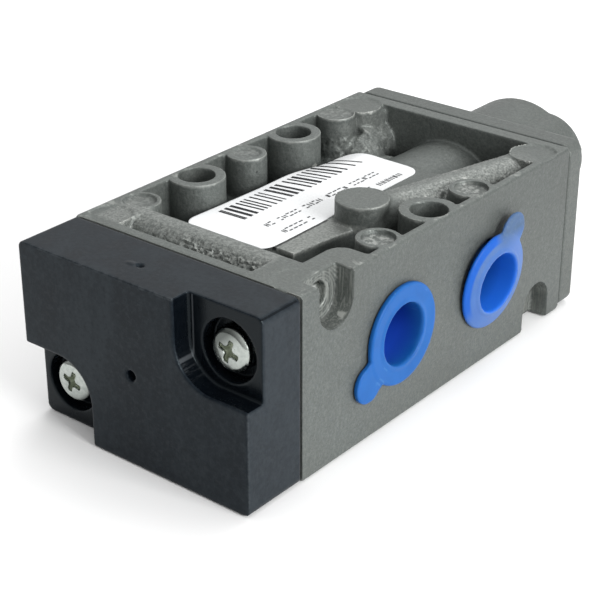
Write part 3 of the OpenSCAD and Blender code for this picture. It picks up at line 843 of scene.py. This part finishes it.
parts = [thread((-22.3, yy, 16), (1, 0, 0), (0, 1, 0), (0, 0, 1), 6.58, 5.9, 1.337, 9.6) for yy in (-26, 0, 26)]
parts += [thread((19.6, yy, 16), (-1, 0, 0), (0, 1, 0), (0, 0, 1), 6.58, 6.3, 1.337, 6.6) for yy in (-13, 13)]
threads = mesh_obj("port_threads", *join(parts))
paint(threads, M["die_cast"])
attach(threads, "housing")
threads = mesh_obj("pilot_thread", *thread((0, 59.5, 16), (0, -1, 0), (1, 0, 0), (0, 0, 1), 4.86, 4.28, 0.907, 7.0))
paint(threads, M["cover_cast"])
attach(threads, "housing")

# -------------------------------------------------------------- the screws --
def dome(v):
    """Pan heads bulge towards the middle; front heads look -Y, rear heads +Y."""
    x, y, z = v[:, 0] / MM, v[:, 1] / MM, v[:, 2] / MM
    sg = np.sign(y[0])
    top = (y * sg).max()
    r = np.hypot(np.abs(x) - np.abs(x).min() / 2 - np.abs(x).max() / 2, np.abs(z - 16) - np.abs(z - 16).min() / 2 - np.abs(z - 16).max() / 2)
    w = np.clip((y * sg - top + 1.6) / 1.6, 0, 1) * np.clip(1 - (r / 3.7) ** 2, 0, 1)
    v[:, 1] += sg * 0.38 * w * MM
    return v


for nm, node in (("cover_screw_heads", "front_screws"), ("pilot_screw_heads", "rear_screws")):
    p = soften(nm, node, 0.11, 3, 70000, post=dome)
    crisp(p, 50)
    paint(p, M["zinc"])
    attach(p, "housing")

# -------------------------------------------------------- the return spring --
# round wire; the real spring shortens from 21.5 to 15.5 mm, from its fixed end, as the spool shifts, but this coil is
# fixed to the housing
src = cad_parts["return_spring"]
coil = link(bpy.data.objects.new("spring_coil", src.data.copy()))
sub = coil.modifiers.new("round", "SUBSURF")
sub.levels = 1
me = evaluated(coil)
coil.modifiers.clear()
coil.data = me
coil.data.shade_smooth()
paint(coil, M["spring"])
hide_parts("return_spring")
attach(coil, "housing")
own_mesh(coil)

# ---------------------------------------------------- CAD nodes that stay ---
for node, mt in (("front_gasket", "gasket"), ("rear_gasket", "gasket"), ("spool", "spool"), ("stack_seals", "seal"),
                 ("port_cages", "cage"), ("front_end_ring", "cage"), ("rear_end_ring", "cage"), 
                 ("pilot_piston", "piston"), ("piston_seal", "seal"), ("piston_bumper", "seal"), ("gallery_balls", "ball")):
    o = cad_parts[node]
    if o.data.materials:
        for i in range(len(o.data.materials)):
            o.material_slots[i].material = M[mt]
    else:
        o.data.materials.append(M[mt])

# --------------------------------------------------------- floor and light --
bpy.ops.mesh.primitive_plane_add(size=6, location=(0, 0, -0.0002))
floor = bpy.context.object
floor.name = "floor"
fm = Mat("floor_white")
fm.set(Base_Color=(0.93, 0.93, 0.93, 1), Roughness=0.9, Specular_IOR_Level=0.1)
floor.data.materials.append(fm.m)

w = bpy.data.worlds.new("studio")
scene.world = w
w.use_nodes = True
wt = w.node_tree
bg = wt.nodes["Background"]
# white room, dimmer behind the camera on the spring cover's side
tc = wt.nodes.new("ShaderNodeTexCoord")
dp = wt.nodes.new("ShaderNodeVectorMath")
dp.operation = "DOT_PRODUCT"
dp.inputs[1].default_value = (0.42, 0.62, 0.45)
wt.links.new(tc.outputs["Generated"], dp.inputs[0])
mr = wt.nodes.new("ShaderNodeMapRange")
for i, q in enumerate((-0.65, 0.35, 0.30, 1.0)):
    mr.inputs[i + 1].default_value = q
wt.links.new(dp.outputs["Value"], mr.inputs[0])
wt.links.new(mr.outputs[0], bg.inputs[1])
bg.inputs[0].default_value = (1, 1, 1, 1)


def area(name, loc, aim, size, power, color=(1, 1, 1)):
    l = bpy.data.lights.new(name, "AREA")
    l.shape = "RECTANGLE"
    l.size, l.size_y = size
    l.energy = power
    l.color = color
    o = link(bpy.data.objects.new(name, l))
    o.location = loc
    o.rotation_euler = (Vector(aim) - Vector(loc)).to_track_quat("-Z", "Y").to_euler()
    return o


area("key", (1.02, -0.06, 0.42), (0, 0, 0.01), (0.50, 0.50), 12.5)
area("top", (-0.10, 0.30, 0.60), (0, 0, 0.01), (0.4, 0.4), 1.5)
scene.view_settings.view_transform = "Standard"
